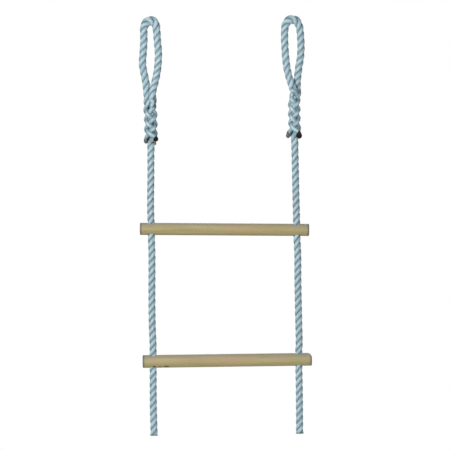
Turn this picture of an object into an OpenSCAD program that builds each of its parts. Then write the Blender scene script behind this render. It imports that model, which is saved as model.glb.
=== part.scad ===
// Escape rope ladder: two three-strand ropes, each with a spliced eye at the top,
// and two round wooden rungs that the ropes run through.
// +Z is up, +X runs along the rungs to the right, and a climber faces +Y.
// The origin is the inner crown of the left eye, where a hook bears.

/* [Ladder] */
// Distance between the centre lines of the two rungs
rung_pitch = 300; // [260:5:340]
// Distance between the centre lines of the two ropes
rope_spacing = 333; // [300:1:400]
// Drop from the inner crown of the left eye to the centre line of the upper rung
upper_rung_drop = 468; // [466:1:520]
// Length of rope from the lower rung's centre line to its cut end
tail_drop = 170; // [140:5:300]

/* [Rungs] */
// Diameter of the upper rung
upper_rung_d = 28; // [26:0.5:31]
// Diameter of the lower rung
lower_rung_d = 29.5; // [26:0.5:31]
// Length of a rung
rung_length = 387; // [380:1:410]
// How far the upper rung's middle sits to the right of the middle between the ropes
upper_rung_shift = 1.3; // [-5:0.1:5]
// How far the lower rung's middle sits to the right of the middle between the ropes
lower_rung_shift = 3.4; // [-5:0.1:5]
// Angle by which the upper rung hangs lower at its right end
upper_rung_tilt = 1.15; // [-2:0.05:2]
// Chamfer around the ends of a rung
rung_chamfer = 1.5; // [0.5:0.5:3]
// Radius of the corner worn round at the top of the lower rung's right end
worn_corner_r = 10.5; // [4:0.5:12]
// Play between the rope and its hole in a rung, on the diameter
bore_play = 0.4; // [0.2:0.1:1]

/* [Rope] */
// Diameter of the laid rope
rope_d = 17; // [16:0.5:17]
// Diameter of the standing rope's core inside a splice
core_d = 13; // [12:0.5:13]
// Diameter of one strand that is tucked into a splice
strand_d = 7.6; // [7:0.1:8]
// Length in which a tucked strand goes once around the splice
tuck_pitch = 63; // [55:1:80]
// Diameter of the sealed end of a strand
tip_d = 9.4; // [8:0.2:10]
// Diameter of the sealed end of a rope
seal_d = 19; // [17:0.5:20]

/* [Fixing pins] */
// Diameter of a pin's shank
pin_d = 3; // [2:0.5:4]
// Diameter of a pin's head
pin_head_d = 7; // [6:0.5:9]
// Wood left in front of a pin's point
pin_cover = 4; // [3:0.5:6]

/* [Joints] */
// Distance from a rung's centre line to the fold axis above and below it
fold_reach = 30; // [28:1:34]
// Distance from a fold axis to the sway axis beside it
neck_length = 35; // [32:1:38]
// Drop from the origin to the axis on which the ladder swings, just below the splices
swing_drop = 296; // [294:1:300]
// Free space past the rounded end of a rope stretch
joint_gap = 0.5; // [0.4:0.1:1]

/* [Hidden] */

rope_color = [0.55, 0.66, 0.70];
strand_color = [0.66, 0.75, 0.79];
wood_color = [0.69, 0.63, 0.48];
char_color = [0.08, 0.08, 0.08];
seal_color = [0.35, 0.38, 0.40];
steel_color = [0.60, 0.61, 0.63];

round_fn = 48;
tube_sides = 12;
strand_sides = 8;
rope_r = rope_d / 2;
core_r = core_d / 2;
strand_r = strand_d / 2;

// Places of the two ropes, their eyes, the two rungs and the joint axes
left_x = 0;
right_x = rope_spacing;
left_eye_x = left_x + 2.4;
right_eye_x = right_x - 1.8;
upper_rung_z = -upper_rung_drop;
lower_rung_z = upper_rung_z - rung_pitch;
rope_end_z = lower_rung_z - tail_drop;
swing_z = -swing_drop;
top_sway_z = swing_z - neck_length;
sway_reach = fold_reach + neck_length;
seal_length = 2.5;

// Splices: where each ends, and the angles at which its strands come out, from +X towards +Y
left_splice_z = -258;
right_splice_z = -247;
left_tip_angles = [-40, 80, 172];
right_tip_angles = [-42, 70, 166];

// Centre line of each eye from the end of the rope's working part, up over the crown and
// down the standing part into the splice: x, y, z and the rope's radius, which is larger
// at the crown, where the strands spread
crown_r = rope_r + 1.5;
shoulder_r = rope_r + 1;
left_eye_route = [
    [4.5, -8.5, -176, rope_r],
    [4.5, -8, -164, rope_r],
    [5, -7.5, -152, rope_r],
    [8.5, -5, -138, rope_r],
    [11.8, -3, -125, rope_r],
    [15.3, -1, -110, rope_r],
    [18.3, 0, -88, rope_r],
    [19.6, 0, -61, rope_r],
    [17.6, 0, -33, rope_r],
    [16, 0, -12, rope_r],
    [12.5, 0, 5, shoulder_r],
    [2, 0, 10.5, crown_r],
    [-8.3, 0, 5, shoulder_r],
    [-11.6, 0, -12, rope_r],
    [-13.2, 0, -33, rope_r],
    [-15.2, 0, -60, rope_r],
    [-17.2, 0, -86, rope_r],
    [-13.3, 2, -112, rope_r],
    [-10.8, 4, -125, rope_r],
    [-9, 5, -139, rope_r],
    [-8, 6.5, -152, rope_r],
    [-6, 7, -168, rope_r],
    [-3, 4, -182, core_r + 1],
    [0, 0, -202, core_r],
    [0, 0, -234, core_r],
    [0, 0, left_splice_z - 3, core_r]
];
right_eye_route = [
    [-3, -8.5, -158, rope_r],
    [-3.5, -8.5, -148, rope_r],
    [-6, -7, -137, rope_r],
    [-10, -4, -125, rope_r],
    [-12.8, -2, -113, rope_r],
    [-15.3, 0, -101, rope_r],
    [-17.8, 0, -78, rope_r],
    [-19.4, 0, -51, rope_r],
    [-19.8, 0, -24, rope_r],
    [-18, 0, -5, rope_r],
    [-11.8, 0, 7, shoulder_r],
    [-2.2, 0, 10.3, crown_r],
    [7.8, 0, 7, shoulder_r],
    [14.2, 0, -5, rope_r],
    [16.6, 0, -26, rope_r],
    [17.5, 0, -50, rope_r],
    [16, 0, -76, rope_r],
    [12.3, 1, -96, rope_r],
    [10.2, 2, -112, rope_r],
    [8.4, 4, -126, rope_r],
    [7.5, 5.5, -141, rope_r],
    [7, 7, -154, rope_r],
    [3, 4, -167, core_r + 1],
    [0, 0, -188, core_r],
    [0, 0, -221, core_r],
    [0, 0, right_splice_z - 3, core_r]
];

// One point of a smooth curve through b and c, with a and d the points next to them
function curve_point(a, b, c, d, t) =
    0.5 * (2 * b + (c - a) * t + (2 * a - 5 * b + 4 * c - d) * t * t
        + (3 * b - a - 3 * c + d) * t * t * t);

// A smooth curve through all the points, with the same number of steps between each two
function smooth_route(points, steps) =
    let (last = len(points) - 1)
    [
        for (i = [0:last - 1], s = [0:steps - 1])
            curve_point(
                points[max(i - 1, 0)], points[i], points[i + 1], points[min(i + 2, last)], s / steps
            ),
        points[last]
    ];

function unit(v) = v / norm(v);
function place(p) = [p[0], p[1], p[2]];
function heading(route, i) =
    unit(place(route[min(i + 1, len(route) - 1)]) - place(route[max(i - 1, 0)]));

// One ring of a tube: the fourth number of a route's point is the tube's radius
function ring(route, i, sides) =
    let (
        ahead = heading(route, i),
        side = unit(cross([0, 1, 0], ahead)),
        up = cross(ahead, side)
    )
    [
        for (k = [0:sides - 1])
            place(route[i])
                + route[i][3] * (cos(360 * k / sides) * side + sin(360 * k / sides) * up)
    ];

// A closed tube swept along a route
module tube(route, sides) {
    rings = len(route);
    points = [for (i = [0:rings - 1]) each ring(route, i, sides)];
    walls = [
        for (i = [0:rings - 2], k = [0:sides - 1])
            let (
                a = i * sides + k,
                b = a + sides,
                c = (i + 1) * sides + (k + 1) % sides,
                d = c - sides
            )
            each [[a, b, c], [a, c, d]]
    ];
    first_cap = [for (k = [0:sides - 1]) k];
    last_cap = [for (k = [sides - 1:-1:0]) (rings - 1) * sides + k];
    polyhedron(points = points, faces = concat(walls, [first_cap], [last_cap]));
}

function ease(t) =
    let (u = min(max(t, 0), 1))
    u * u * (3 - 2 * u);

// A tucked strand leaves the working part, circles the core against the rope's lay,
// and stands away from it at its end
tuck_steps = 28;
tuck_r = core_r + strand_r + 0.2;
tip_out = 3;
fan_share = 0.4;
function half_turn(a) = a - 360 * round(a / 360);
function tuck_route(start, splice_z, tip_angle) =
    let (
        start_r = norm([start[0], start[1]]),
        start_angle = atan2(start[1], start[0]),
        first_angle = tip_angle - 360 * (start[2] - splice_z) / tuck_pitch,
        fan = 0.8 * half_turn(first_angle - start_angle)
    )
    [
        for (i = [0:tuck_steps])
            let (
                t = i / tuck_steps,
                z = start[2] + t * (splice_z - start[2]),
                spread = ease(t / fan_share),
                angle = tip_angle - 360 * (z - splice_z) / tuck_pitch - fan * (1 - spread),
                reach = start_r + (tuck_r - start_r) * spread + tip_out * ease((t - 0.75) / 0.25)
            )
            [reach * cos(angle), reach * sin(angle), z, strand_r]
    ];

// The eye: the working part, the loop and the standing part down through the splice
module eye_rope(x, route) {
    color(rope_color) translate([x, 0, 0]) tube(smooth_route(route, 2), tube_sides);
}

// One strand of the working part, tucked around the standing part
module tucked_strand(x, route, splice_z, tip_angle) {
    color(strand_color) translate([x, 0, 0]) tube(tuck_route(route[0], splice_z, tip_angle), strand_sides);
}

// The melted end of a tucked strand
tip_length = 12;
tip_lean = 6;
module strand_tip(x, splice_z, angle) {
    color(char_color)
        translate([x, 0, splice_z])
        rotate([0, 0, angle])
        translate([tuck_r + tip_out, 0, 0])
        rotate([0, -tip_lean, 0])
        translate([0, 0, -tip_length])
        cylinder(h = tip_length, d1 = tip_d, d2 = tip_d - 1.4, $fn = round_fn);
}

// A stretch of rope with two flat ends
module rope_stretch(x, top, bottom) {
    translate([x, 0, bottom]) cylinder(h = top - bottom, d = rope_d, $fn = round_fn);
}

// A stretch of rope that ends in a half ball around the axis it bends on
module rope_to_axis(x, top, axis_z) {
    color(rope_color) union() {
        rope_stretch(x, top, axis_z);
        translate([x, 0, axis_z]) sphere(d = rope_d, $fn = round_fn);
    }
}

// Where the next stretch starts below an axis, clear of the half ball at every angle
function below_axis(axis_z) = axis_z - rope_r - joint_gap;

// The rope from a splice, which hangs a little beside the rope's line, to the swing axis
module rope_below_splice(eye_x, x, splice_z) {
    rise = splice_z - 3 - swing_z;
    color(rope_color)
        translate([x, 0, swing_z])
        rotate([0, atan2(eye_x - x, rise), 0])
        union() {
            cylinder(h = norm([eye_x - x, rise]), d = rope_d, $fn = round_fn);
            sphere(d = rope_d, $fn = round_fn);
        }
}

// The short stretch between a swing or fold axis and the sway axis under it
module neck_below(x, axis_z) {
    rope_to_axis(x, below_axis(axis_z), axis_z - neck_length);
}

// The short stretch between a sway axis and the fold axis above a rung
module neck_above(x, rung_z) {
    rope_to_axis(x, below_axis(rung_z + sway_reach), rung_z + fold_reach);
}

// The rope between two sway axes, in one piece or in two halves with a gap between them
module span(x, upper_axis_z, lower_axis_z) {
    rope_to_axis(x, below_axis(upper_axis_z), lower_axis_z);
}
module span_top(x, upper_axis_z, lower_axis_z) {
    middle = (upper_axis_z + lower_axis_z) / 2;
    color(rope_color) rope_stretch(x, below_axis(upper_axis_z), middle + joint_gap / 2);
}
module span_bottom(x, upper_axis_z, lower_axis_z) {
    middle = (upper_axis_z + lower_axis_z) / 2;
    rope_to_axis(x, middle - joint_gap / 2, lower_axis_z);
}

// Height of a rung's centre line at a rope
function rung_z_at(x, rung_z, tilt) = rung_z - (x - right_x / 2) * tan(tilt);

// A fixing pin, driven from the back through the rung and the rope
pin_head_h = 1.2;
module pin_shank(x, z, rung_d, end_y) {
    translate([x, end_y, z])
        rotate([90, 0, 0])
        cylinder(h = end_y - pin_cover + rung_d / 2, d = pin_d, $fn = round_fn);
}

// The rope through a rung, with the pin's hole across it
module rope_in_rung(x, rung_z, rung_d, tilt) {
    color(rope_color) difference() {
        rope_to_axis(x, below_axis(rung_z + fold_reach), rung_z - fold_reach);
        pin_shank(x, rung_z_at(x, rung_z, tilt), rung_d, rung_d);
    }
}

// The wood that has worn off the top corner of a rung's right end
module worn_corner(rung_z, rung_d, shift, worn_r) {
    translate([right_x / 2 + shift + rung_length / 2 - worn_r, 0, rung_z + rung_d / 2 - worn_r])
        rotate([90, 0, 0])
        difference() {
            translate([0, 0, -rung_d])
                cube([2 * worn_r, 2 * worn_r, 2 * rung_d]);
            translate([0, 0, -2 * rung_d])
                cylinder(h = 4 * rung_d, r = worn_r, $fn = round_fn);
        }
}

// A round rung with chamfered ends, a hole for each rope and a recessed hole for each pin
module rung(rung_z, rung_d, shift, tilt, worn_r = 0) {
    body_r = rung_d / 2;
    color(wood_color) difference() {
        translate([right_x / 2, 0, rung_z])
            rotate([0, 90 + tilt, 0])
            translate([0, 0, shift - rung_length / 2])
            rotate_extrude($fn = round_fn * 2)
            polygon([
                [0, 0],
                [body_r - rung_chamfer, 0],
                [body_r, rung_chamfer],
                [body_r, rung_length - rung_chamfer],
                [body_r - rung_chamfer, rung_length],
                [0, rung_length]
            ]);
        for (x = [left_x, right_x]) {
            pin_z = rung_z_at(x, rung_z, tilt);
            translate([x, 0, pin_z - rung_d])
                cylinder(h = 2 * rung_d, d = rope_d + bore_play, $fn = round_fn);
            pin_shank(x, pin_z, rung_d, rung_d);
            translate([x, rung_d, pin_z])
                rotate([90, 0, 0])
                cylinder(h = rung_d - body_r + pin_head_h, d = pin_head_d, $fn = round_fn);
        }
        if (worn_r > 0) {
            worn_corner(rung_z, rung_d, shift, worn_r);
        }
    }
}

module rung_pins(rung_z, rung_d, tilt) {
    head_base_y = rung_d / 2 - pin_head_h;
    color(steel_color) for (x = [left_x, right_x]) {
        pin_z = rung_z_at(x, rung_z, tilt);
        pin_shank(x, pin_z, rung_d, head_base_y);
        translate([x, head_base_y + pin_head_h, pin_z])
            rotate([90, 0, 0])
            cylinder(h = pin_head_h, d = pin_head_d, $fn = round_fn);
    }
}

// The free end of a rope under the lower rung
module tail(x) {
    top = below_axis(lower_rung_z - sway_reach);
    color(rope_color) rope_stretch(x, top, rope_end_z + seal_length);
}

// The melted end of a rope
module tail_seal(x) {
    color(seal_color)
        translate([x, 0, rope_end_z])
        cylinder(h = seal_length, d1 = seal_d, d2 = rope_d, $fn = round_fn);
}

eye_rope(left_eye_x, left_eye_route);  // left_eye_rope
eye_rope(right_eye_x, right_eye_route);  // right_eye_rope
tucked_strand(left_eye_x, left_eye_route, left_splice_z, left_tip_angles[0]);  // left_tucked_strand_1
tucked_strand(left_eye_x, left_eye_route, left_splice_z, left_tip_angles[1]);  // left_tucked_strand_2
tucked_strand(left_eye_x, left_eye_route, left_splice_z, left_tip_angles[2]);  // left_tucked_strand_3
tucked_strand(right_eye_x, right_eye_route, right_splice_z, right_tip_angles[0]);  // right_tucked_strand_1
tucked_strand(right_eye_x, right_eye_route, right_splice_z, right_tip_angles[1]);  // right_tucked_strand_2
tucked_strand(right_eye_x, right_eye_route, right_splice_z, right_tip_angles[2]);  // right_tucked_strand_3
strand_tip(left_eye_x, left_splice_z, left_tip_angles[0]);  // left_strand_tip_1
strand_tip(left_eye_x, left_splice_z, left_tip_angles[1]);  // left_strand_tip_2
strand_tip(left_eye_x, left_splice_z, left_tip_angles[2]);  // left_strand_tip_3
strand_tip(right_eye_x, right_splice_z, right_tip_angles[0]);  // right_strand_tip_1
strand_tip(right_eye_x, right_splice_z, right_tip_angles[1]);  // right_strand_tip_2
strand_tip(right_eye_x, right_splice_z, right_tip_angles[2]);  // right_strand_tip_3
rope_below_splice(left_eye_x, left_x, left_splice_z);  // left_rope_below_splice
rope_below_splice(right_eye_x, right_x, right_splice_z);  // right_rope_below_splice
neck_below(left_x, swing_z);  // left_top_neck
neck_below(right_x, swing_z);  // right_top_neck
span(left_x, top_sway_z, upper_rung_z + sway_reach);  // left_upper_span
span_top(right_x, top_sway_z, upper_rung_z + sway_reach);  // right_upper_span_top
span_bottom(right_x, top_sway_z, upper_rung_z + sway_reach);  // right_upper_span_bottom
neck_above(left_x, upper_rung_z);  // left_neck_above_upper_rung
neck_above(right_x, upper_rung_z);  // right_neck_above_upper_rung
rung(upper_rung_z, upper_rung_d, upper_rung_shift, upper_rung_tilt);  // upper_rung
rope_in_rung(left_x, upper_rung_z, upper_rung_d, upper_rung_tilt);  // left_rope_in_upper_rung
rope_in_rung(right_x, upper_rung_z, upper_rung_d, upper_rung_tilt);  // right_rope_in_upper_rung
rung_pins(upper_rung_z, upper_rung_d, upper_rung_tilt);  // upper_rung_pins
neck_below(left_x, upper_rung_z - fold_reach);  // left_neck_below_upper_rung
neck_below(right_x, upper_rung_z - fold_reach);  // right_neck_below_upper_rung
span(left_x, upper_rung_z - sway_reach, lower_rung_z + sway_reach);  // left_middle_span
span_top(right_x, upper_rung_z - sway_reach, lower_rung_z + sway_reach);  // right_middle_span_top
span_bottom(right_x, upper_rung_z - sway_reach, lower_rung_z + sway_reach);  // right_middle_span_bottom
neck_above(left_x, lower_rung_z);  // left_neck_above_lower_rung
neck_above(right_x, lower_rung_z);  // right_neck_above_lower_rung
rung(lower_rung_z, lower_rung_d, lower_rung_shift, 0, worn_corner_r);  // lower_rung
rope_in_rung(left_x, lower_rung_z, lower_rung_d, 0);  // left_rope_in_lower_rung
rope_in_rung(right_x, lower_rung_z, lower_rung_d, 0);  // right_rope_in_lower_rung
rung_pins(lower_rung_z, lower_rung_d, 0);  // lower_rung_pins
neck_below(left_x, lower_rung_z - fold_reach);  // left_tail_neck
neck_below(right_x, lower_rung_z - fold_reach);  // right_tail_neck
tail(left_x);  // left_tail
tail(right_x);  // right_tail
tail_seal(left_x);  // left_tail_seal
tail_seal(right_x);  // right_tail_seal
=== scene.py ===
"""Escape rope ladder: two three-strand ropes with spliced eyes, and two round wooden rungs."""

import itertools
import math

import bpy
import numpy as np
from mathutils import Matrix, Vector


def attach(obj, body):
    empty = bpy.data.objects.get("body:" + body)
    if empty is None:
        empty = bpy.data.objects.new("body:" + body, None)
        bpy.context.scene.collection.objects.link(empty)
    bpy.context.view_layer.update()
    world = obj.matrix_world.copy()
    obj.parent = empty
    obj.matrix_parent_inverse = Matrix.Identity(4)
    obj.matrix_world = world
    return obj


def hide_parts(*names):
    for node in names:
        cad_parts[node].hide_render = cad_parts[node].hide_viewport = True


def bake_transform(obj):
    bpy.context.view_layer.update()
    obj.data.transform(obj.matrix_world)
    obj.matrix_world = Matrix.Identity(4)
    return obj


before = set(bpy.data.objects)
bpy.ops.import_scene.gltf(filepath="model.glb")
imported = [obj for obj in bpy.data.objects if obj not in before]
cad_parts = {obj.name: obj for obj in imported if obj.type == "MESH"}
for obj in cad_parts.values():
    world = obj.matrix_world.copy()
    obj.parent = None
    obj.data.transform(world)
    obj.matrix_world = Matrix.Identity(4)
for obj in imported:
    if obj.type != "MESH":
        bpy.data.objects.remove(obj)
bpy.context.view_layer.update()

MM = 0.001
SIDES = ("left", "right")
# The ropes' own lines, their cut ends and the tops of the seals there, in millimetres
ROPE_X = {"left": 0.0, "right": 333.0}
ROPE_END_Z = -938.0
SEAL_TOP_Z = -935.5
# The middle between the ropes, in metres, and how much lower the upper rung's right end is
RUNG_MIDDLE_X = 0.1665
UPPER_TILT = math.radians(1.15)

# ---------------------------------------------------------------- camera

CAMERA_AIM = (0.1690, 0.0, -0.4580)
CAMERA_DISTANCE = 5.0
VIEW_WIDTH = 1.0305
CAMERA_ROLL = math.radians(0.79)


def add_camera():
    data = bpy.data.cameras.new("camera")
    data.sensor_width = 36.0
    data.lens = data.sensor_width * CAMERA_DISTANCE / VIEW_WIDTH
    camera = bpy.data.objects.new("camera", data)
    camera.location = (CAMERA_AIM[0], -CAMERA_DISTANCE, CAMERA_AIM[2])
    camera.rotation_euler = (math.radians(90), CAMERA_ROLL, 0)
    bpy.context.scene.collection.objects.link(camera)
    bpy.context.scene.camera = camera


add_camera()

# ---------------------------------------------------------------- rope geometry, in millimetres

STRANDS = 3
# Length of rope in which a strand goes once around it
LAY = 49.5
STRAND_R = 4.25
# From the rope's axis to the middle of a strand
STRAND_OFFSET = 4.4
# A strand's thickness and width, as shares of a round strand's
FLAT_OUT = 0.93
FLAT_SIDE = 1.12
# For each radian of a strand's turn around the rope: how much it rises and how long it is
RISE = LAY / (2 * math.pi)
SLANT = math.hypot(STRAND_OFFSET, RISE)
# Radians that a strand's outward side gains on a side carried along it, for each millimetre
CARRY = RISE / SLANT**2
# The yarns are lobes around a strand, and turn about it by YARN_TWIST for each millimetre
YARNS = 14
COLUMNS = 4 * YARNS
YARN_DEPTH = 0.3
YARN_TWIST = 0.1
# Distance between two rings of a strand's mesh, along the strand and in height
RING_STEP = 1.6
RING_RISE = RING_STEP * RISE / SLANT
X_AXIS = np.array([1.0, 0.0, 0.0])
Z_AXIS = np.array([0.0, 0.0, 1.0])


def ease(t):
    u = np.clip(t, 0.0, 1.0)
    return u * u * (3 - 2 * u)


def unit(v):
    return v / np.linalg.norm(v, axis=-1, keepdims=True)


def half_turn(angle):
    return angle - 2 * math.pi * np.round(angle / (2 * math.pi))


def arc_length(points):
    return np.concatenate([[0.0], np.cumsum(np.linalg.norm(np.diff(points, axis=0), axis=1))])


def resample(points, step):
    """The same line with evenly spaced points, about step apart."""
    s = arc_length(points)
    count = max(int(round(s[-1] / step)), 2)
    at = np.linspace(0, s[-1], count + 1)
    return np.stack([np.interp(at, s, points[:, i]) for i in range(points.shape[1])], axis=1)


def smooth_line(points, sigma):
    """Evenly spaced rows of values, smoothed along the line, with its ends held."""
    reach = int(3 * sigma)
    kernel = np.exp(-0.5 * (np.arange(-reach, reach + 1) / sigma) ** 2)
    kernel /= kernel.sum()
    head = 2 * points[0] - points[reach:0:-1]
    foot = 2 * points[-1] - points[-2 : -reach - 2 : -1]
    padded = np.concatenate([head, points, foot])
    columns = [np.convolve(padded[:, i], kernel, "valid") for i in range(points.shape[1])]
    return np.stack(columns, axis=1)


def curve_through(points, steps):
    """A Catmull-Rom curve, with the same number of steps between each two points."""
    p = np.array(points, float)
    p = np.concatenate([[2 * p[0] - p[1]], p, [2 * p[-1] - p[-2]]])
    t = (np.arange(steps) / steps)[:, None]
    parts = []
    for i in range(1, len(p) - 2):
        a, b, c, d = p[i - 1 : i + 3]
        curve = 2 * b + (c - a) * t + (2 * a - 5 * b + 4 * c - d) * t**2
        parts.append(0.5 * (curve + (3 * b - a - 3 * c + d) * t**3))
    return np.concatenate([*parts, p[-2:-1]])


def carried_frames(points, first_side):
    """Tangents, and two side vectors carried along the line without turning about it."""
    tangents = unit(np.gradient(points, axis=0))
    side = first_side - np.dot(first_side, tangents[0]) * tangents[0]
    sides = [side / np.linalg.norm(side)]
    for i in range(1, len(points)):
        chord = points[i] - points[i - 1]
        chord_sq = np.dot(chord, chord)
        mirrored = sides[-1] - 2 * np.dot(chord, sides[-1]) / chord_sq * chord
        ahead = tangents[i - 1] - 2 * np.dot(chord, tangents[i - 1]) / chord_sq * chord
        turn = tangents[i] - ahead
        turn_sq = np.dot(turn, turn)
        if turn_sq > 1e-12:
            mirrored = mirrored - 2 * np.dot(turn, mirrored) / turn_sq * turn
        sides.append(mirrored / np.linalg.norm(mirrored))
    sides = np.array(sides)
    return tangents, sides, np.cross(tangents, sides)


def strand_section():
    """Angles around a strand and its radius there, with one lobe for each yarn."""
    column = np.arange(COLUMNS) / COLUMNS
    lobe = 1 - np.abs(np.sin(math.pi * YARNS * column))
    return 2 * math.pi * column, STRAND_R - YARN_DEPTH * lobe


def rings_around(centres, sides, others, turn, outward, share=1.0):
    """Rings of points around a strand's centre line; turn is the yarns' turn at each ring.

    A strand is a little wider than thick, as it is pressed against its rope: outward is
    the direction away from the rope's axis, and share scales the strand.
    """
    column, reach = strand_section()
    angle = column[None, :] + turn[:, None]
    reach = reach[None, :] * np.broadcast_to(share, (len(centres),))[:, None]
    on_side = np.cos(angle)[..., None] * sides[:, None, :]
    on_other = np.sin(angle)[..., None] * others[:, None, :]
    spokes = reach[..., None] * (on_side + on_other)
    tangents = np.cross(sides, others)
    outward = unit(outward - np.sum(outward * tangents, axis=1, keepdims=True) * tangents)
    out_part = np.einsum("ijk,ik->ij", spokes, outward)[..., None] * outward[:, None, :]
    return centres[:, None, :] + FLAT_OUT * out_part + FLAT_SIDE * (spokes - out_part)


def helix(z, strand, lay_start):
    """Centre line of one strand of straight rope about x = 0, and its outward and side vectors."""
    theta = 2 * math.pi * (z / LAY + strand / STRANDS) + lay_start
    zero = np.zeros_like(z)
    outward = np.stack([np.cos(theta), np.sin(theta), zero], axis=1)
    sideways = np.stack([-outward[:, 1], outward[:, 0], zero], axis=1)
    tangents = STRAND_OFFSET * sideways + RISE * Z_AXIS
    centres = STRAND_OFFSET * outward + z[:, None] * Z_AXIS
    return centres, outward, np.cross(tangents / SLANT, outward)


def helix_turn(z):
    """Turn of the yarns in straight rope, the same wherever the rope is cut."""
    return -(CARRY + YARN_TWIST) * z * SLANT / RISE


# How far each rope strays from its own straight line: pairs of a height and a shift to the
# right
WANDER = {
    "left": [
        (-938, 0.2), (-876, -0.9), (-826, -0.6), (-786, 0), (-752, 0), (-731, 0.7),
        (-696, -0.7), (-646, -1.0), (-586, -0.2), (-526, 0.9), (-486, 0), (-450, 0),
        (-426, -0.9), (-396, -0.6), (-346, 0.8), (-296, 1.5), (-258, 2.4), (24, 2.4),
    ],
    "right": [
        (-938, 0.2), (-876, 0.8), (-826, 0.9), (-786, 0.5), (-752, 0.5), (-731, 2.4),
        (-696, 1.9), (-646, 1.4), (-586, 1.1), (-526, 1.8), (-488, 0), (-452, 0),
        (-426, -0.2), (-396, -0.7), (-346, -1.0), (-296, -1.5), (-258, -1.8), (24, -1.8),
    ],
}
# The line between those heights is taken every 2 mm and smoothed over 24 mm to each side
STRAY_STEP = 2.0
STRAY_REACH = 12
STRAY_MARGIN = 40


def stray(side, z):
    """How far a rope strays at height z, without a kink at the heights that are listed."""
    heights, shifts = (np.array(v, float) for v in zip(*WANDER[side]))
    fine = np.arange(heights[0] - STRAY_MARGIN, heights[-1] + STRAY_MARGIN, STRAY_STEP)
    line = np.pad(np.interp(fine, heights, shifts), STRAY_REACH, "edge")
    steps = np.arange(-STRAY_REACH, STRAY_REACH + 1)
    kernel = np.exp(-0.5 * (3 * steps / STRAY_REACH) ** 2)
    line = np.convolve(line, kernel / kernel.sum(), "valid")
    return np.interp(z, fine, line)


def in_place(points, side):
    """Points around a rope's own line, moved to where that rope hangs, in metres."""
    shift = ROPE_X[side] + stray(side, points[:, 2])
    return (points + shift[:, None] * X_AXIS) * MM


def grid_faces(rows, columns, closed=False):
    """Faces between rows of points, whose last and first points are joined if closed."""
    faces = []
    for i in range(rows - 1):
        for k in range(columns if closed else columns - 1):
            here = i * columns + k
            beside = i * columns + (k + 1) % columns
            faces.append((here, beside, beside + columns, here + columns))
    return faces


def mesh_object(name, side, points, faces):
    """A smooth mesh object in the scene, of points around a rope's own line."""
    mesh = bpy.data.meshes.new(name)
    mesh.from_pydata(in_place(points, side).tolist(), [], faces)
    mesh.polygons.foreach_set("use_smooth", [True] * len(mesh.polygons))
    piece = bpy.data.objects.new(name, mesh)
    bpy.context.scene.collection.objects.link(piece)
    return piece


def solid_of_rings(name, side, rings):
    """A mesh object of closed rings of points, with a face over each end."""
    columns = len(rings[0])
    last = (len(rings) - 1) * columns
    faces = [(a, d, c, b) for a, b, c, d in grid_faces(len(rings), columns, closed=True)]
    faces.append(tuple(range(columns)))
    faces.append(tuple(reversed(range(last, last + columns))))
    return mesh_object(name, side, np.concatenate(rings), faces)


class MeshParts:
    """Collects tubes, and makes one mesh object of them."""

    def __init__(self):
        self.points = []
        self.normals = []
        self.faces = []
        self.fibre = []
        self.painted_shading = []
        self.count = 0

    def add(self, points, normals, faces, fibre, painted_shading):
        self.points.append(points)
        self.normals.append(normals)
        self.faces.extend(tuple(i + self.count for i in face) for face in faces)
        self.fibre.append(fibre)
        self.painted_shading.append(painted_shading)
        self.count += len(points)

    def tube(self, rings, outward, s, seed, shade=1.0):
        """A closed tube. The first and last of the rings only steer the normals.

        outward is the direction away from the rope's own axis at each ring's points, and
        shade scales the painted shade in the strand's grooves.
        """
        ahead = rings[2:] - rings[:-2]
        around = np.roll(rings, -1, axis=1)[1:-1] - np.roll(rings, 1, axis=1)[1:-1]
        normals = unit(np.cross(around, ahead))
        body = rings[1:-1]
        rows, columns = body.shape[:2]
        # Painted highlight and shade: 0 where the surface faces away from the rope's axis, for a
        # near-white crest, rising towards 1 in the grooves, for darker colour
        facing_out = np.sum(normals * outward[1:-1], axis=2)
        painted_shading = np.sqrt(1 - np.clip(facing_out, 0, 1))
        painted_shading *= np.broadcast_to(shade, (rows + 2,))[1:-1, None]
        wrapped = np.arange(columns + 1) % columns
        column = np.arange(columns + 1)[None, :] / columns + seed
        fibre = np.stack(np.broadcast_arrays(column, s[1:-1, None] * MM), axis=2)
        self.add(
            body[:, wrapped].reshape(-1, 3),
            normals[:, wrapped].reshape(-1, 3),
            grid_faces(rows, columns + 1),
            fibre.reshape(-1, 2),
            painted_shading[:, wrapped].ravel(),
        )
        middle = body.mean(axis=1)
        cap = tuple(range(columns))
        for end, inner, face in ((0, 1, cap[::-1]), (-1, -2, cap)):
            facing = np.tile(unit(middle[end] - middle[inner]), (columns, 1))
            self.add(body[end], facing, [face], fibre[end, :columns], np.ones(columns))

    def build(self, name, side):
        """One mesh object of all the tubes, with the "fibre" UV map and the values that paint a
        highlight on the crests and shade in the grooves.
        """
        piece = mesh_object(name, side, np.concatenate(self.points), self.faces)
        mesh = piece.data
        corners = np.zeros(len(mesh.loops), np.int32)
        mesh.loops.foreach_get("vertex_index", corners)
        fibre = np.concatenate(self.fibre)[corners].astype(np.float32)
        mesh.uv_layers.new(name="fibre").data.foreach_set("uv", fibre.ravel())
        painted_shading = mesh.attributes.new("painted_shading", "FLOAT", "POINT")
        painted_shading.data.foreach_set("value", np.concatenate(self.painted_shading).astype(np.float32))
        mesh.normals_split_custom_set_from_vertices(np.concatenate(self.normals).tolist())
        return piece


def away_from_line(rings, line):
    """Unit vectors from each ring's own point on a line to the ring's points."""
    return unit(rings - line[:, None, :])
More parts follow.
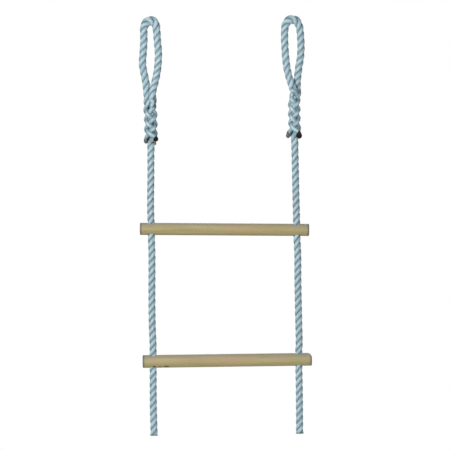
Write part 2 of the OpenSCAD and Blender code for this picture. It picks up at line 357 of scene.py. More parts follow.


# ---------------------------------------------------------------- eyes and splices

# Each eye and its splice:
# route - the rope's centre line from the end of its working part, up over the crown and
#     down the standing part into the splice: x from the rope's own axis, y and z
# fan_top, splice_end - where the working part's strands part, and where the last one ends
# braid_lay - the lay inside the splice
# crossing_z - a height at which the tucked strands cross over the laid ones
# braid_r - the middle radius of the crossing strands
# slack - how much thicker the rope is where nothing pulls it tight
# crown_bulge - how far the strands open at the crown
# shade - how much of the painted shade in the grooves is left in the splice
# tips - angle around the rope, distance from its axis, length and overlap of each melted end
EYES = {
    "left": {
        "route": [
            (4.5, -8.5, -176),
            (4.5, -8, -164),
            (5, -7.5, -152),
            (8.5, -5, -138),
            (11.8, -3, -125),
            (15.3, -1, -110),
            (18.3, 0, -88),
            (19.6, 0, -61),
            (17.6, 0, -33),
            (16.2, 0, -10),
            (12.2, 0, 7.2),
            (2, 0, 12),
            (-4.2, 0, 9.8),
            (-9, 0, 4.4),
            (-12.9, 0, -3),
            (-13.2, 0, -33),
            (-15.2, 0, -60),
            (-17.2, 0, -86),
            (-13.3, 2, -112),
            (-10.8, 4, -125),
            (-9, 5, -139),
            (-8, 6.5, -152),
            (-6, 7, -168),
            (-3, 4, -182),
            (0, 0, -202),
            (0, 0, -234),
            (0, 0, -261),
        ],
        "fan_top": -164.0,
        "splice_end": -258.0,
        "braid_lay": 66.0,
        "crossing_z": -247.0,
        "braid_r": 9.8,
        "slack": 1.09,
        "crown_bulge": 0.38,
        "shade": 0.78,
        "tips": ((-42, 15.0, 12.5, 4.0), (80, 11.4, 14.0, 2.2), (172, 11.0, 15.0, 2.2)),
    },
    "right": {
        "route": [
            (-3, -8.5, -158),
            (-3.5, -8.5, -148),
            (-6, -7, -137),
            (-10, -4, -125),
            (-12.8, -2, -113),
            (-15.3, 0, -101),
            (-17.8, 0, -78),
            (-19.4, 0, -51),
            (-19.8, 0, -24),
            (-18, 0, -5),
            (-11.8, 0, 7),
            (-2.2, 0, 10.4),
            (7.4, 0, 7),
            (14.2, 0, -5),
            (16.6, 0, -26),
            (17.5, 0, -50),
            (16, 0, -76),
            (12.3, 1, -96),
            (10.2, 2, -112),
            (8.4, 4, -126),
            (7.5, 5.5, -141),
            (7, 7, -154),
            (3, 4, -167),
            (0, 0, -188),
            (0, 0, -221),
            (0, 0, -250),
        ],
        "fan_top": -146.0,
        "splice_end": -250.0,
        "braid_lay": 63.0,
        "crossing_z": -237.0,
        "braid_r": 8.7,
        "slack": 1.07,
        "crown_bulge": 0.30,
        "shade": 0.70,
        "tips": ((-45, 13.2, 17.5, 3.0), (70, 11.4, 13.0, 2.2), (166, 14.2, 13.0, 0.7)),
    },
}
# The cut below the splice, and the heights that steer the rope's line past it
EYE_CUT_Z = -313.5
BELOW_SPLICE = [(0, 0, EYE_CUT_Z - 10), (0, 0, -296), (0, 0, -279)]
AXIS_STEP = 0.4
# How far the strands of a splice go in and out of their middle radius where they cross,
# and how much thicker they are
BRAID_WEAVE = 2.2
BRAID_SHARE = 1.04
FAN_LENGTH = 28.0
CROWN_SPREAD = 14.0
# Where a change starts, and the length of rope that it takes: slack from the cut up, the
# weave from the splice's end up and from the fan's top down, a tip's turn and distance
# from the splice's end up
SLACK_START, SLACK_LENGTH = 18, 20
WEAVE_FOOT, WEAVE_FOOT_LENGTH = 14, 16
WEAVE_HEAD, WEAVE_HEAD_LENGTH = 2, 24
TIP_TURN_START, TIP_TURN_LENGTH = 34, 30
TIP_REACH_START, TIP_REACH_LENGTH = 18, 15
# Rings at the cut that keep the plain rope's own shape, after three that only lead in
FOOT_RINGS = 12
LEAD_IN = 3
# The rope that fills the inside of a splice
CORE_SHARE = 1.12
CORE_SPREAD = 1.2
CORE_TURN = 1.0
CORE_FOOT = 2
CORE_HEAD = 22
CORE_TAPER = 12
# Where each strand's pattern starts in its material
STRAND_SEED = 1.7
CORE_SEED = 7.3


def slack(eye, z):
    """How much thicker the rope is at height z, where nothing pulls it tight."""
    return 1 + (eye["slack"] - 1) * ease((z - EYE_CUT_Z - SLACK_START) / SLACK_LENGTH)


def braid(eye, z):
    """Weave phase of a splice at height z: whole numbers are the crossings."""
    return 6 * (z - eye["crossing_z"]) / eye["braid_lay"]


def laid_legs(eye):
    """The three strands as laid, from the cut below the splice to the working part's end,
    the axis they go around, the index of its crown, and the lay angle of the rope below."""
    axis = resample(curve_through(BELOW_SPLICE + eye["route"][::-1], 24), AXIS_STEP)
    s = arc_length(axis)
    _, sides, others = carried_frames(axis, X_AXIS)
    z = axis[:, 2]
    crown = int(np.argmax(z))
    in_braid = ease((z - eye["splice_end"] + WEAVE_FOOT) / WEAVE_FOOT_LENGTH)
    in_braid *= ease((eye["fan_top"] + WEAVE_HEAD - z) / WEAVE_HEAD_LENGTH)
    in_braid[crown:] = 0.0
    lay = LAY + (eye["braid_lay"] - LAY) * in_braid
    rate = 2 * math.pi / lay
    theta = np.concatenate([[0.0], np.cumsum(0.5 * (rate[1:] + rate[:-1]) * np.diff(s))])
    theta -= np.interp(eye["crossing_z"], z[:crown], theta[:crown])
    lay_start = half_turn(theta[0] - 2 * math.pi * z[0] / LAY)
    at_rest = STRAND_OFFSET * slack(eye, z)
    weave = eye["braid_r"] - at_rest - BRAID_WEAVE * np.cos(math.pi * braid(eye, z))
    at_crown = np.exp(-0.5 * ((s - s[crown]) / CROWN_SPREAD) ** 2)
    offset = (at_rest + in_braid * weave) * (1 + eye["crown_bulge"] * at_crown)
    legs = []
    for k in range(STRANDS):
        turn = (theta + 2 * math.pi * k / STRANDS)[:, None]
        legs.append(axis + offset[:, None] * (np.cos(turn) * sides + np.sin(turn) * others))
    return legs, axis, crown, lay_start


def tucked_angles(eye, z):
    """Each tucked strand's angles around the rope at heights z, and its tip's distance."""
    tucked = []
    for j in range(STRANDS):
        angle = -2 * math.pi * ((z - eye["crossing_z"]) / eye["braid_lay"] + j / STRANDS)
        gaps = [(half_turn(math.radians(tip[0]) - angle[-1]), tip[1]) for tip in eye["tips"]]
        lack, reach = min(gaps, key=lambda gap: abs(gap[0]))
        turned = ease((eye["splice_end"] + TIP_TURN_START - z) / TIP_TURN_LENGTH)
        tucked.append((angle + lack * turned, reach))
    return tucked


def eye_strands(eye):
    """Centre lines of the three strands, each from the cut below the splice to its tip,
    the rope's lay angle at z = 0 of the straight part, and the axis that they go around."""
    legs, axis, crown, lay_start = laid_legs(eye)
    fan_top = crown + int(np.argmax(axis[crown:, 2] < eye["fan_top"]))
    fan_z = np.arange(eye["fan_top"], eye["splice_end"] - 0.01, -AXIS_STEP)
    tucked = tucked_angles(eye, fan_z)
    starts = [math.atan2(leg[fan_top, 1], leg[fan_top, 0]) for leg in legs]

    def effort(order):
        return sum(half_turn(starts[k] - tucked[order[k]][0][0]) ** 2 for k in range(STRANDS))

    order = min(itertools.permutations(range(STRANDS)), key=effort)
    spread = ease((eye["fan_top"] - fan_z) / FAN_LENGTH)
    at_tip = ease((eye["splice_end"] + TIP_REACH_START - fan_z) / TIP_REACH_LENGTH)
    lines = []
    for k, leg in enumerate(legs):
        angle, tip_reach = tucked[order[k]]
        weave = eye["braid_r"] + BRAID_WEAVE * np.cos(math.pi * braid(eye, fan_z))
        weave += (tip_reach - weave) * at_tip
        reach = (1 - spread) * math.hypot(*leg[fan_top, :2]) + spread * weave
        path_angle = angle + (1 - spread) * half_turn(starts[k] - angle[0])
        z = fan_z + (1 - spread) * (leg[fan_top, 2] - fan_z[0])
        path = np.stack([reach * np.cos(path_angle), reach * np.sin(path_angle), z], axis=1)
        # The strand leaves its leg little by little, over most of what is left of the leg
        rest = leg[fan_top:][: len(path)]
        hold = ease(np.arange(len(path)) / (0.9 * len(rest)))[:, None]
        held = np.concatenate([rest, np.repeat(rest[-1:], len(path) - len(rest), axis=0)])
        lines.append(np.concatenate([leg[:fan_top], (1 - hold) * held + hold * path]))
    return lines, lay_start, axis


def thickness(eye, s, centres):
    """Shares of a strand's plain thickness and of its painted groove shade along its centres."""
    z = centres[:, 2]
    in_splice = (z < eye["fan_top"]) & (z > eye["splice_end"] - 8)
    spliced = smooth_line(1.0 * in_splice[:, None], 6)[:, 0]
    at_crown = np.exp(-0.5 * ((s - s[np.argmax(z)]) / CROWN_SPREAD) ** 2)
    share = (1 + (BRAID_SHARE - 1) * spliced) * slack(eye, z)
    share *= 1 + 0.5 * eye["crown_bulge"] * at_crown
    return share, 1 + (eye["shade"] - 1) * spliced


def own_axis(eye, centres, axis):
    """The point of the rope's axis that each point of a strand goes around."""
    nearest = [np.argmin(np.sum((axis - centre) ** 2, axis=1)) for centre in centres]
    on_axis = axis[nearest]
    late = np.arange(len(centres)) > int(0.6 * len(centres))
    tucked = late & (centres[:, 2] < eye["fan_top"] - 12)
    on_axis[tucked] = centres[tucked] * Z_AXIS
    return on_axis


def make_eye(side, name):
    """The eye, its splice and the rope down to the cut, as three whole strands."""
    eye = EYES[side]
    lines, lay_start, axis = eye_strands(eye)
    parts = MeshParts()
    ends = []
    foot_z = EYE_CUT_Z + RING_RISE * np.arange(-LEAD_IN, FOOT_RINGS)
    for k, line in enumerate(lines):
        foot, outward, _ = helix(foot_z, k, lay_start)
        below_crown = line[: int(np.argmax(line[:, 2]))]
        first = int(np.argmin(np.linalg.norm(below_crown - foot[-1], axis=1)))
        upper = resample(np.concatenate([foot[-1:], line[first + 2 :]]), RING_STEP)
        smoothed = smooth_line(upper, 2.0)
        smoothed[:4] = upper[:4]
        centres = np.concatenate([foot[:-1], smoothed])
        _, sides, others = carried_frames(centres, outward[0])
        s = foot_z[0] * SLANT / RISE + arc_length(centres)
        turn = helix_turn(foot_z[0]) - YARN_TWIST * (s - s[0])
        share, shade = thickness(eye, s, centres)
        on_axis = own_axis(eye, centres, axis)
        outward = smooth_line(unit(centres - on_axis), 3.0)
        outward[:FOOT_RINGS] = unit(centres - on_axis)[:FOOT_RINGS]
        rings = rings_around(centres, sides, others, turn, outward, share)
        away = away_from_line(rings, on_axis)
        kept = slice(LEAD_IN - 1, None)
        parts.tube(rings[kept], away[kept], s[kept], k * STRAND_SEED, shade[kept])
        ends.append((centres[-2], unit(centres[-2] - centres[-5])))
    z = np.arange(eye["splice_end"] - CORE_FOOT, eye["fan_top"] - CORE_HEAD, RING_RISE)
    core = z[:, None] * Z_AXIS
    swell = 0.5 + 0.5 * ease((z - z[0]) / CORE_TAPER) * ease((z[-1] - z) / CORE_TAPER)
    for k in range(STRANDS):
        centres, outward, others = helix(z, k, lay_start + CORE_TURN)
        centres = core + (centres - core) * CORE_SPREAD * swell[:, None]
        share = CORE_SHARE * swell
        rings = rings_around(centres, outward, others, helix_turn(z), outward, share)
        away = away_from_line(rings, core)
        parts.tube(rings, away, z * SLANT / RISE, CORE_SEED + k, eye["shade"])
    return parts.build(name, side), ends, lay_start


def make_rope(side, name, z_low, z_high, lay_start):
    """A stretch of straight rope between two heights."""
    parts = MeshParts()
    count = int(round((z_high - z_low) / RING_RISE))
    z = z_low + (z_high - z_low) / count * np.arange(-1, count + 2)
    for k in range(STRANDS):
        centres, outward, others = helix(z, k, lay_start)
        rings = rings_around(centres, outward, others, helix_turn(z), outward)
        away = away_from_line(rings, z[:, None] * Z_AXIS)
        parts.tube(rings, away, z * SLANT / RISE, k * STRAND_SEED)
    return parts.build(name, side)


# A tip's mesh, and how far along it its end starts to round off
TIP_RINGS = 24
TIP_COLUMNS = 48
TIP_ROUND = 0.62


def make_tip(side, name, end, heading, length, rise, width, seed):
    """The melted end of a tucked strand: a lumpy stub that grows out of the strand.

    It begins at rise above the strand's end, and width is how far it reaches sideways.
    """
    phi = np.arange(TIP_COLUMNS) * 2 * math.pi / TIP_COLUMNS
    down = unit(heading * 0.5 - Z_AXIS)
    a = unit(np.cross(down, X_AXIS))
    b = np.cross(down, a)
    around = np.cos(phi)[:, None] * a + np.sin(phi)[:, None] * b
    rings = []
    for t in np.linspace(0, 1, TIP_RINGS):
        body = width * (0.85 + 0.15 * math.sin(math.pi * min(t * 1.1, 1.0)))
        round_off = math.sqrt(max(0.0, 1 - max(0.0, (t - TIP_ROUND) / (1 - TIP_ROUND)) ** 2))
        lump = 1 + 0.06 * np.sin(2 * phi + 3.1 * t + seed)
        lump += 0.04 * np.sin(3 * phi - 5.3 * t + 2.3 * seed)
        lump += 0.015 * np.sin(6 * phi + 7.0 * t + 1.3 * seed)
        r = body * (0.06 + 0.94 * round_off) * lump
        drift = 0.5 * math.sin(2.2 * t + seed) * a + 0.5 * math.sin(2.9 * t + 2 * seed) * b
        centre = end + down * (length * t - rise) + drift * t
        rings.append(centre + r[:, None] * around)
    return solid_of_rings(name, side, rings)


SEAL_COLUMNS = 96
SEAL_R = 8.75
# Height of each ring of a sealed rope end, its share of the rope's radius, and how far
# its three strands have run together
SEAL_LEVELS = [
    (SEAL_TOP_Z + 1.6, 0.96, 0.0),
    (SEAL_TOP_Z + 0.6, 1.0, 0.15),
    (SEAL_TOP_Z - 0.2, 1.03, 0.55),
    (SEAL_TOP_Z - 0.9, 1.06, 0.85),
    (SEAL_TOP_Z - 1.5, 1.08, 1.0),
    (SEAL_TOP_Z - 2.0, 1.05, 1.0),
    (ROPE_END_Z + 0.15, 0.97, 1.0),
    (ROPE_END_Z, 0.85, 1.0),
    (ROPE_END_Z + 0.1, 0.6, 1.0),
    (ROPE_END_Z + 0.25, 0.3, 1.0),
    (ROPE_END_Z + 0.3, 0.08, 1.0),
]


def make_seal(side, name, lay_start):
    """The melted end of a rope: three strands run together into a flared disc."""
    phi = np.arange(SEAL_COLUMNS) * 2 * math.pi / SEAL_COLUMNS
    theta = 2 * math.pi * SEAL_TOP_Z / LAY + lay_start
    off = [half_turn(phi - theta - 2 * math.pi * k / STRANDS) for k in range(STRANDS)]
    off = np.array(off)[np.argmin(np.abs(off), axis=0), np.arange(SEAL_COLUMNS)]
    across = STRAND_OFFSET * np.sin(off)
    laid = STRAND_OFFSET * np.cos(off) + np.sqrt(STRAND_R**2 - across**2)
    wobble = 1 + 0.02 * np.sin(5 * phi + 1.3) + 0.015 * np.sin(9 * phi + ROPE_X[side])
    rings = []
    for z, share, fused in SEAL_LEVELS:
        r = share * ((1 - fused) * laid + fused * SEAL_R) * wobble
        rings.append(np.stack([r * np.cos(phi), r * np.sin(phi), np.full_like(phi, z)], axis=1))
    return solid_of_rings(name, side, rings)


# ---------------------------------------------------------------- materials


class Nodes:
    """Short names for building a material's node tree."""

    def __init__(self, name):
        self.material = bpy.data.materials.new(name)
        self.material.use_nodes = True
        self.tree = self.material.node_tree
        self.shader = self.tree.nodes["Principled BSDF"]

    def node(self, kind, inputs=None, **settings):
        made = self.tree.nodes.new(kind)
        for key, value in settings.items():
            setattr(made, key, value)
        for key, value in (inputs or {}).items():
            if hasattr(value, "is_output"):
                self.tree.links.new(value, made.inputs[key])
            else:
                made.inputs[key].default_value = value
        return made

    def coordinates(self, output="Object"):
        return self.node("ShaderNodeTexCoord").outputs[output]

    def noise(self, vector, scale, detail, roughness):
        inputs = {"Vector": vector, "Scale": scale, "Detail": detail, "Roughness": roughness}
        return self.node("ShaderNodeTexNoise", inputs).outputs["Fac"]

    def mapped(self, vector, scale=(1, 1, 1), location=(0, 0, 0), rotation=(0, 0, 0)):
        inputs = {"Vector": vector, "Scale": scale, "Location": location, "Rotation": rotation}
        return self.node("ShaderNodeMapping", inputs).outputs["Vector"]

    def stretched(self, vector, scale, detail, roughness=0.5, location=(0, 0, 0)):
        """Noise that is drawn out by a different scale along each axis."""
        return self.noise(self.mapped(vector, scale, location), 1.0, detail, roughness)

    def split(self, vector):
        return self.node("ShaderNodeSeparateXYZ", {"Vector": vector}).outputs

    def length(self, vector):
        made = self.node("ShaderNodeVectorMath", {0: vector}, operation="LENGTH")
        return made.outputs["Value"]

    def between(self, value, low, high):
        """A value's way from low, where it gives 0, to high, where it gives 1."""
        inputs = {"Value": value, "From Min": low, "From Max": high}
        return self.node("ShaderNodeMapRange", inputs).outputs[0]

    def ramp(self, value, stops):
        made = self.node("ShaderNodeValToRGB", {"Fac": value})
        elements = made.color_ramp.elements
        while len(elements) < len(stops):
            elements.new(0.5)
        for element, (at, colour) in zip(elements, stops):
            element.position = at
            element.color = (*colour, 1)
        return made.outputs["Color"]

    def greys(self, value, *stops):
        """A ramp of greys, each stop a place and a brightness."""
        return self.ramp(value, [(at, (grey, grey, grey)) for at, grey in stops])

    def math(self, operation, a, b=0.0, c=0.0):
        return self.node("ShaderNodeMath", {0: a, 1: b, 2: c}, operation=operation).outputs[0]

    def mix(self, factor, a, b, blend="MIX"):
        made = self.node("ShaderNodeMix", data_type="RGBA", blend_type=blend)
        for socket, value in ((0, factor), (6, a), (7, b)):
            if hasattr(value, "is_output"):
                self.tree.links.new(value, made.inputs[socket])
            elif socket == 0:
                made.inputs[socket].default_value = value
            else:
                made.inputs[socket].default_value = (*value, 1)
        return made.outputs[2]

    def bump(self, height, strength, distance, normal=None):
        inputs = {"Height": height, "Strength": strength, "Distance": distance}
        if normal is not None:
            inputs["Normal"] = normal
        return self.node("ShaderNodeBump", inputs).outputs["Normal"]

    def finish(self, **inputs):
        for key, value in inputs.items():
            socket = self.shader.inputs[key.replace("_", " ")]
            if hasattr(value, "is_output"):
                self.tree.links.new(value, socket)
            else:
                socket.default_value = value
        return self.material


def srgb(r, g, b):
    def linear(c):
        c /= 255
        return c / 12.92 if c <= 0.04045 else ((c + 0.055) / 1.055) ** 2.4

    return (linear(r), linear(g), linear(b))


def rope_material():
    m = Nodes("rope_fibre")
    fibre = m.node("ShaderNodeUVMap", uv_map="fibre").outputs["UV"]
    painted_shading = m.node("ShaderNodeAttribute", attribute_name="painted_shading").outputs["Fac"]
    hairs = m.stretched(fibre, (90, 300, 1), 4.0, 0.6)
    strands = m.stretched(fibre, (26, 50, 1), 2.0)
    streaks = m.stretched(fibre, (9, 60, 1), 3.0, 0.6)
    patches = m.noise(m.coordinates(), 26.0, 3.0, 0.5)
    # Painted highlight and shade: near white on the strands' crests, darker towards their grooves
    by_painted_shading = [
        (0.00, srgb(228, 249, 255)),
        (0.08, srgb(206, 231, 242)),
        (0.15, srgb(166, 193, 205)),
        (0.25, srgb(138, 165, 177)),
        (0.46, srgb(104, 133, 146)),
        (0.75, srgb(58, 83, 94)),
    ]
    by_streak = [
        (0.36, (0.785, 0.82, 0.84)),
        (0.50, (0.96, 0.985, 0.98)),
        (0.64, (1.215, 1.225, 1.20)),
    ]
    colour = m.ramp(painted_shading, by_painted_shading)
    by_hair = m.greys(hairs, (0.32, 0.66), (0.50, 0.92), (0.70, 1.12))
    colour = m.mix(0.8, colour, by_hair, "MULTIPLY")
    colour = m.mix(0.85, colour, m.ramp(streaks, by_streak), "MULTIPLY")
    colour = m.mix(m.math("MULTIPLY", patches, 0.2), colour, srgb(130, 152, 163))
    rough = m.math("MULTIPLY_ADD", hairs, 0.3, 0.34)
    normal = m.bump(hairs, 0.55, 0.0004)
    normal = m.bump(strands, 0.35, 0.0006, normal)
    sheen = {"Sheen_Weight": 0.15, "Sheen_Roughness": 0.4}
    return m.finish(Base_Color=colour, Roughness=rough, Normal=normal, **sheen)


# How far the pith lies in front of a rung's middle and below it, and rings in a metre
PITH_Y = 0.011
PITH_Z = 0.006
RINGS = 420.0
# Painted shade at the ends of a rung: how much darker the wood is there, in red, green
# and blue, and how far from an end the painted dark band starts and is full
END_SHADE = (0.34, 0.37, 0.50)
BAND_START = 0.0055
BAND_FULL = 0.0025
# From a rung's middle, where the damp patches start and are full
DAMP_START = 0.150
DAMP_FULL = 0.185


def wood_material(name, centre_z, tilt, half, stains, seed):
    """Turned softwood: growth rings around a pith beside the rung, seen along and across.

    half is half the rung's length past its middle on the left and on the right, and each
    stain is the place of a dark smudge and its reach along the rung and across it.
    """
    m = Nodes(name)
    place = m.coordinates()
    level = m.mapped(place, location=(-RUNG_MIDDLE_X, 0, -centre_z))
    turned = m.mapped(level, rotation=(0, -tilt, 0))
    along, _, up = m.split(turned)
    moved = m.mapped(turned, location=(seed, PITH_Y, PITH_Z))
    wander = m.stretched(moved, (2.2, 9, 9), 2.0)
    grain = m.stretched(moved, (9, 260, 260), 4.0, 0.6)
    pores = m.stretched(moved, (40, 900, 900), 3.0, 0.6)
    patches = m.stretched(moved, (15, 90, 90), 2.0)
    blush = m.stretched(moved, (11, 60, 60), 2.0, location=(0.37, 0, 0))

    # Early and late wood, with a rosy and a yellowish cast in places
    _, from_pith_y, from_pith_z = m.split(moved)
    y = m.math("MULTIPLY_ADD", wander, 0.010, from_pith_y)
    across = m.node("ShaderNodeCombineXYZ", {"Y": y, "Z": from_pith_z}).outputs[0]
    ring = m.math("FRACT", m.math("MULTIPLY", m.length(across), RINGS))
    late = m.greys(ring, (0.0, 0.15), (0.6, 0.35), (0.93, 1.0), (1.0, 0.1))
    colour = m.ramp(grain, [(0.3, srgb(160, 149, 104)), (0.7, srgb(194, 181, 132))])
    colour = m.mix(m.math("MULTIPLY", late, 0.38), colour, srgb(138, 118, 68))
    rosy = m.greys(blush, (0.42, 0.0), (0.66, 0.8))
    colour = m.mix(rosy, colour, srgb(184, 152, 120))
    dull = m.greys(patches, (0.48, 0.0), (0.72, 0.6))
    colour = m.mix(dull, colour, srgb(166, 158, 98))

    # Painted reflection of light from above greys the top; greenish patches on top near the ends;
    # painted warm bounce light yellows the underside
    painted_top_reflection = m.between(up, 0.0, 0.014)
    colour = m.mix(m.math("MULTIPLY", painted_top_reflection, 0.6), colour, srgb(148, 148, 138))
    outer = m.between(m.math("ABSOLUTE", along), DAMP_START, DAMP_FULL)
    damp = m.math("MULTIPLY", outer, m.math("MULTIPLY_ADD", painted_top_reflection, 0.7, 0.15))
    damp = m.math("MULTIPLY", damp, m.greys(patches, (0.34, 0.2), (0.56, 1.0)))
    colour = m.mix(damp, colour, srgb(140, 151, 126))
    # Painted warm bounce light: yellower towards the underside
    painted_warm_bounce = m.between(up, -0.002, -0.011)
    colour = m.mix(m.math("MULTIPLY", painted_warm_bounce, 0.45), colour, srgb(158, 158, 108))
    fine = m.math("MULTIPLY", m.greys(pores, (0.30, 1.0), (0.45, 0.0)), 0.35)
    colour = m.mix(fine, colour, srgb(140, 118, 80))

    # Painted shade in a band at each end, and wherever the surface turns to face along the rung
    for tip in (-half[0], half[1]):
        inward = math.copysign(1, -tip)
        end = m.between(along, tip + BAND_START * inward, tip + BAND_FULL * inward)
        colour = m.mix(m.math("MULTIPLY", end, 0.7), colour, END_SHADE, "MULTIPLY")
    facing = m.math("ABSOLUTE", m.split(m.coordinates("Normal"))["X"])
    turned_away_shade = m.between(facing, 0.15, 0.7)
    colour = m.mix(m.math("MULTIPLY", turned_away_shade, 0.4), colour, END_SHADE, "MULTIPLY")

    for (x, y, z), reach_x, reach in stains:
        scale = (1 / reach_x, 1 / reach, 1 / reach)
        near = m.length(m.mapped(place, scale, (-x / reach_x, -y / reach, -z / reach)))
        near = m.math("ADD", near, m.math("MULTIPLY", grain, 0.5))
        colour = m.mix(m.greys(near, (0.5, 0.9), (1.0, 0.0)), colour, srgb(44, 30, 18))
    normal = m.bump(grain, 0.25, 0.0004)
    normal = m.bump(pores, 0.25, 0.0002, normal)
    return m.finish(Base_Color=colour, Roughness=0.62, Normal=normal)


def char_material(name, dark, light, rough, shine=0.5):
    m = Nodes(name)
    lumps = m.noise(m.coordinates(), 420.0, 4.0, 0.6)
    colour = m.ramp(lumps, [(0.35, dark), (0.7, light)])
    normal = m.bump(lumps, 0.6, 0.0008)
    return m.finish(Base_Color=colour, Roughness=rough, Normal=normal, Specular_IOR_Level=shine)


def steel_material():
    m = Nodes("pin_steel")
    place = m.coordinates()
    scratches = m.stretched(place, (4000, 300, 300), 3.0, 0.6)
    tarnish = m.noise(place, 700.0, 3.0, 0.6)
    colour = m.ramp(tarnish, [(0.3, (0.32, 0.31, 0.30)), (0.7, (0.60, 0.60, 0.61))])
    rough = m.math("MULTIPLY_ADD", scratches, 0.35, 0.2)
    normal = m.bump(scratches, 0.2, 0.0001)
    return m.finish(Base_Color=colour, Metallic=1.0, Roughness=rough, Normal=normal)


ROPE = rope_material()
CHARRED = char_material(
    "charred_strand_end", (0.004, 0.004, 0.004), (0.020, 0.018, 0.014), 0.45, shine=0.2
)
SINGED = char_material("singed_yarns", srgb(92, 70, 44), srgb(176, 148, 112), 0.7)
GREYED = char_material("greyed_strand_end", srgb(62, 58, 58), srgb(118, 122, 126), 0.5)
SEALED = char_material("sealed_rope_end", srgb(92, 108, 116), srgb(150, 168, 176), 0.45)

# ---------------------------------------------------------------- pieces

# Where a rope starts to bend under its eye and where that bend ends
EYE_BEND = (-279, -313)
# The free tail of a rope: the cord's upper end, and the points of its path
TAIL_TOP_Z = -815.5
TAIL_POINTS = 25
TIP_WIDTHS = (6.3, 5.5, 5.5)
# A few singed yarns beside the left eye's first tip
YARNS_SHIFT = -3.6
YARNS_LENGTH = 17.0
YARNS_WIDTH = 2.7
YARNS_SEED = 4.4


def stretches(side):
    """Each stretch of a rope below its eye, from the top down: its name, its lower cut, the
    heights where its bend starts and ends, the bodies above and below the bend, and the
    CAD nodes that it stands for. The right rope's spans are each two bodies and two nodes."""
    if side == "right":
        halves = ("_top", "_bottom")
        upper_span, middle_span = ["upper_span_top"], ["middle_span_top"]
    else:
        halves = ("", "")
        upper_span, middle_span = [], []
    upper = [f"{side}_upper_rope{half}" for half in halves]
    middle = [f"{side}_middle_rope{half}" for half in halves]
    upper_rung, lower_rung = "upper_rung_assembly", "lower_rung_assembly"
    neck, tail = f"{side}_tail_neck_body", f"{side}_tail_rope"
    in_upper, in_lower = ["rope_in_upper_rung"], ["rope_in_lower_rung"]
    above_upper, above_lower = ["neck_above_upper_rung"], ["neck_above_lower_rung"]
    top_nodes = ["top_neck", *upper_span]
    middle_nodes = ["neck_below_upper_rung", *middle_span]
    upper_nodes = [f"upper_span{halves[1]}"]
    foot_nodes = [f"middle_span{halves[1]}"]
    return [
        ("under_eye", -367.0, -314, -348, "top_necks", upper[0], top_nodes),
        ("upper_bay", -420.5, -386, -420, upper[1], "upper_rung_necks", upper_nodes),
        ("above_upper_rung", -468.0, -421, -455, "upper_rung_necks", upper_rung, above_upper),
        ("below_upper_rung", -515.5, -481, -515, upper_rung, "middle_necks", in_upper),
        ("middle_bay_top", -618.0, -516, -550, "middle_necks", middle[0], middle_nodes),
        ("middle_bay_foot", -720.5, -686, -720, middle[1], "lower_rung_necks", foot_nodes),
        ("above_lower_rung", -768.0, -721, -755, "lower_rung_necks", lower_rung, above_lower),
        ("below_lower_rung", TAIL_TOP_Z, -781, -815, lower_rung, neck, in_lower),
        ("tail", SEAL_TOP_Z, -816, -850, neck, tail, ["tail_neck", "tail"]),
    ]


def bend(piece, side, above, below, high, low):
    """Bakes a piece's transform into its mesh; side, above, below, high and low are not used."""
    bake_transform(piece)


def dress(piece, material):
    """Gives a piece its material."""
    piece.data.materials.append(material)


def add_eye(side):
    """The eye with its splice and its melted strand ends; gives the rope's lay angle."""
    eye_piece, ends, lay_start = make_eye(side, f"{side}_eye_and_splice")
    dress(eye_piece, ROPE)
    bend(eye_piece, side, "eyes", "top_necks", *EYE_BEND)
    tucked = [f"{side}_tucked_strand_{i + 1}" for i in range(STRANDS)]
    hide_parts(f"{side}_eye_rope", f"{side}_rope_below_splice", *tucked)

    for i, (angle, _, length, rise) in enumerate(EYES[side]["tips"]):
        towards = np.array([math.cos(math.radians(angle)), math.sin(math.radians(angle))])
        end, heading = max(ends, key=lambda e: float(np.dot(unit(e[0][:2]), towards)))
        name = f"{side}_melted_tip_{i + 1}"
        seed = 1.0 + 2.1 * i + (side == "right")
        tip = make_tip(side, name, end, heading, length, rise, TIP_WIDTHS[i], seed)
        dress(tip, GREYED if i == 2 else CHARRED)
        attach(tip, "eyes")
        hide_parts(f"{side}_strand_tip_{i + 1}")
        if (side, i) == ("left", 0):
            start = end + YARNS_SHIFT * X_AXIS
            size = (YARNS_LENGTH, 0.0, YARNS_WIDTH)
            yarns = make_tip(side, "left_singed_yarns", start, heading, *size, YARNS_SEED)
            dress(yarns, SINGED)
            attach(yarns, "eyes")
    return lay_start


def add_rope(side, lay_start):
    """The rope below the eye, stretch by stretch."""
    z_high = EYE_CUT_Z
    for name, z_low, bend_high, bend_low, above, below, nodes in stretches(side):
        rope = make_rope(side, f"{side}_rope_{name}", z_low, z_high, lay_start)
        dress(rope, ROPE)
        bend(rope, side, above, below, bend_high, bend_low)
        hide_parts(*[f"{side}_{node}" for node in nodes])
        z_high = z_low


def add_tail(side, lay_start):
    """The sealed end of the rope, on the free tail's body; the path worked out for the tail is not
    used.
    """
    heights = np.linspace(TAIL_TOP_Z, SEAL_TOP_Z, TAIL_POINTS)
    tail_path = in_place(np.array([(0.0, 0.0, z) for z in heights]), side).tolist()
    seal = make_seal(side, f"{side}_melted_rope_end", lay_start)
    dress(seal, SEALED)
    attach(seal, f"{side}_tail_rope")
    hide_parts(f"{side}_tail_seal")


for side in SIDES:
    lay_start = add_eye(side)
    add_rope(side, lay_start)
    add_tail(side, lay_start)

# Each rung's look. Every stain is its place and its reach along and across the rung
RUNGS = {
    "upper": {
        "centre_z": -0.468,
        "tilt": UPPER_TILT,
        "half": (0.1922, 0.1948),
        "stains": [],
        "seed": 0.7,
    },
    "lower": {
        "centre_z": -0.768,
        "tilt": 0.0,
        "half": (0.1901, 0.1969),
        "stains": [
            ((0.003, -0.0095, -0.7798), 0.0062, 0.0052),
            ((0.016, -0.0085, -0.7806), 0.0055, 0.0040),
            ((0.031, -0.0090, -0.7800), 0.0105, 0.0060),
        ],
        "seed": 3.1,
    },
}


def dress_node(node, material):
    """A CAD node's own mesh with a new material."""
    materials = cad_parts[node].data.materials
    materials.clear()
    materials.append(material)


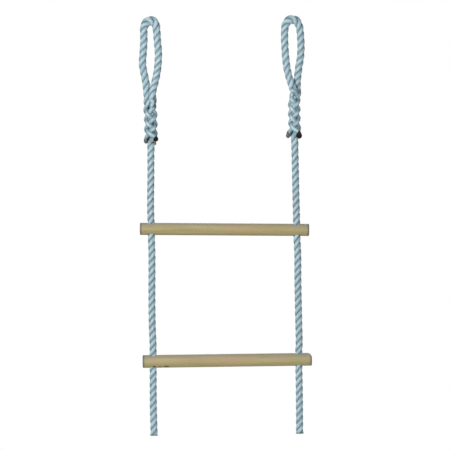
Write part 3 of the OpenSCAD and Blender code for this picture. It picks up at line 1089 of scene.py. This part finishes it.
for which, look in RUNGS.items():
    dress_node(f"{which}_rung", wood_material(f"{which}_rung_wood", **look))
    dress_node(f"{which}_rung_pins", steel_material())

# ---------------------------------------------------------------- floor and light

FLOOR_Z = -1.25
FLOOR_HALF = 0.9


def add_floor():
    mesh = bpy.data.meshes.new("floor")
    low, high = CAMERA_AIM[0] - FLOOR_HALF, CAMERA_AIM[0] + FLOOR_HALF
    corners = [(low, -FLOOR_HALF), (high, -FLOOR_HALF), (high, FLOOR_HALF), (low, FLOOR_HALF)]
    mesh.from_pydata([(x, y, FLOOR_Z) for x, y in corners], [], [(0, 1, 2, 3)])
    floor = bpy.data.objects.new("floor", mesh)
    bpy.context.scene.collection.objects.link(floor)
    m = Nodes("pale_floor")
    mesh.materials.append(m.finish(Base_Color=(0.86, 0.86, 0.86, 1), Roughness=0.8))


def add_light(name, location, size, power, colour):
    data = bpy.data.lights.new(name, "AREA")
    data.shape = "DISK"
    data.size = size
    data.energy = power
    data.color = colour
    light = bpy.data.objects.new(name, data)
    light.location = location
    aim = np.array(CAMERA_AIM) - np.array(location)
    light.rotation_euler = Vector(aim).to_track_quat("-Z", "Y").to_euler()
    bpy.context.scene.collection.objects.link(light)


def add_world():
    world = bpy.data.worlds.new("studio")
    world.use_nodes = True
    tree = world.node_tree
    background = tree.nodes["Background"]
    background.inputs["Color"].default_value = (1, 1, 1, 1)
    path = tree.nodes.new("ShaderNodeLightPath")
    strength = tree.nodes.new("ShaderNodeMapRange")
    strength.inputs["To Min"].default_value = 0.3
    strength.inputs["To Max"].default_value = 1.0
    tree.links.new(path.outputs["Is Camera Ray"], strength.inputs["Value"])
    tree.links.new(strength.outputs["Result"], background.inputs["Strength"])
    bpy.context.scene.world = world


add_floor()
add_world()
add_light("key", (-1.4, -2.6, 0.7), 0.9, 72.0, (1.0, 0.99, 0.97))
add_light("fill", (1.6, -2.6, -0.4), 1.6, 14.0, (0.97, 0.99, 1.0))
add_light("back", (0.6, 2.9, 0.3), 2.0, 48.0, (1.0, 0.99, 0.97))
bpy.context.scene.view_settings.view_transform = "Standard"
